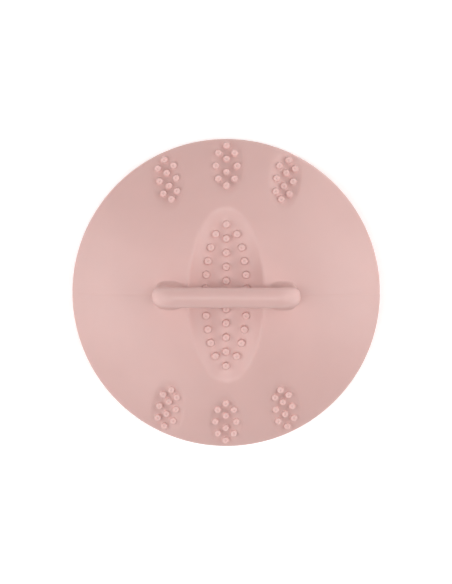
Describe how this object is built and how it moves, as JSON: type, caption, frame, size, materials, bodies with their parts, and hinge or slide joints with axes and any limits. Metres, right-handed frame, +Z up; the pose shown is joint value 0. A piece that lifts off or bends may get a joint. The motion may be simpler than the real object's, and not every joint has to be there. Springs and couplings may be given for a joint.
{
  "type": "facial cleansing brush",
  "caption": "Round domed silicone face brush with a one-finger bridge handle, nubbed finger hollows on its back and soft bristles underneath.",
  "frame": {"origin": "centre of the plane that the bristle tips rest on", "axes": "+Z up through the dome, X along the handle's bar, Y along the long finger hollow"},
  "size_m": [0.1, 0.1, 0.0377],
  "materials": {
    "cover_silicone": "fine matte moulded silicone, dusty pink",
    "bristle_silicone": "smooth soft silicone, dusty pink",
    "core_nylon": "natural moulded nylon",
    "frame_plastic": "white moulded polypropylene",
    "screw_steel": "zinc plated"
  },
  "bodies": {
    "root": {"back_cover": "cover_silicone", "handle_grip": "cover_silicone", "handle_core": "core_nylon", "core_frame": "frame_plastic", "handle_screw_left": "screw_steel", "handle_screw_right": "screw_steel", "bristle_pad": "bristle_silicone"}
  },
  "joints": []
}
